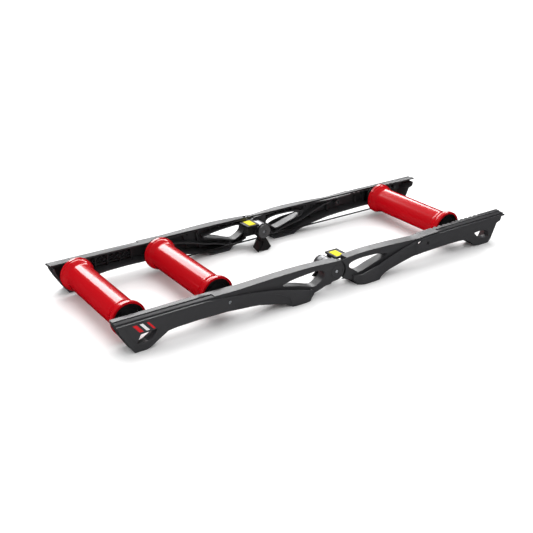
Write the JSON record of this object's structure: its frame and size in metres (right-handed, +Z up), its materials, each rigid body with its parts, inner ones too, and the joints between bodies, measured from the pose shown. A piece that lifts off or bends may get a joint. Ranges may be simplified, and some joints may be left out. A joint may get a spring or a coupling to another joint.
{
  "type": "bike rollers",
  "caption": "Folding training rollers for a bicycle: red drums with flared rims turn between two moulded black side rails, with a round belt driving the front drum.",
  "frame": {"origin": "on the floor, at the middle of the footprint, under the fold axis", "axes": "+X towards the front roller, +Y across to the belt's side, +Z up"},
  "size_m": [1.362, 0.491, 0.1098],
  "materials": {
    "rail_plastic": "satin, moulded charcoal plastic",
    "drum_red": "glossy red",
    "cap_black": "matte black",
    "barrel_grey": "satin light grey",
    "pad_yellow": "plain yellow film",
    "steel": "bright zinc-plated",
    "rubber": "matte",
    "belt": "satin dark grey"
  },
  "bodies": {
    "rear_frame": {"rear_rail_near": "rail_plastic", "rear_rail_far": "rail_plastic", "rear_foot_pads": "rubber", "hinge_tube_near": "barrel_grey", "hinge_pin_near": "steel", "hinge_disc_near": "rail_plastic", "hinge_washer_near": "steel", "rear_leg_near": "rail_plastic", "rear_leg_far": "rail_plastic", "rear_label_plate": "pad_yellow", "rear_axle": "steel", "mid_axle": "steel", "rear_axle_clips": "steel", "mid_axle_screws": "steel", "drive_belt": "belt"},
    "front_frame": {"front_rail_near": "rail_plastic", "front_rail_far": "rail_plastic", "front_foot_pads": "rubber", "hinge_tube_far": "barrel_grey", "hinge_pin_far": "steel", "hinge_disc_far": "rail_plastic", "hinge_washer_far": "steel", "front_leg_near": "rail_plastic", "front_leg_far": "rail_plastic", "front_label_plate": "pad_yellow"},
    "front_carrier": {"front_axle": "steel", "front_axle_block_near": "cap_black", "front_axle_block_far": "cap_black", "front_axle_screws": "steel"},
    "rear_roller": {"rear_drum": "drum_red", "rear_cap_near": "cap_black", "rear_cap_far": "cap_black", "rear_bearing_near": "steel", "rear_bearing_far": "steel"},
    "mid_roller": {"mid_drum": "drum_red", "mid_cap_near": "cap_black", "mid_pulley_cap": "cap_black", "mid_bearing_near": "steel", "mid_bearing_far": "steel"},
    "front_roller": {"front_drum": "drum_red", "front_cap_near": "cap_black", "front_pulley_cap": "cap_black", "front_bearing_near": "steel", "front_bearing_far": "steel"}
  },
  "joints": [
    {"name": "fold", "type": "hinge", "parent": "rear_frame", "child": "front_frame", "pos_m": [0, 0, 0.055], "axis": [0, -1, 0], "range_deg": [0, 90], "deforming": ["drive_belt"]},
    {"name": "front_roller_slide", "type": "slide", "parent": "front_frame", "child": "front_carrier", "axis": [1, 0, 0], "range_m": [-0.0975, 0.0975], "deforming": ["drive_belt"]},
    {"name": "rear_roller_spin", "type": "hinge", "parent": "rear_frame", "child": "rear_roller", "pos_m": [-0.617, 0, 0.0613], "axis": [0, 1, 0], "continuous": true},
    {"name": "mid_roller_spin", "type": "hinge", "parent": "rear_frame", "child": "mid_roller", "pos_m": [-0.3583, 0, 0.0613], "axis": [0, 1, 0], "continuous": true},
    {"name": "front_roller_spin", "type": "hinge", "parent": "front_carrier", "child": "front_roller", "pos_m": [0.4919, 0, 0.0613], "axis": [0, 1, 0], "continuous": true}
  ],
  "couplings": [
    {"joint": "front_roller_spin", "follows": "mid_roller_spin", "ratio": 1}
  ]
}
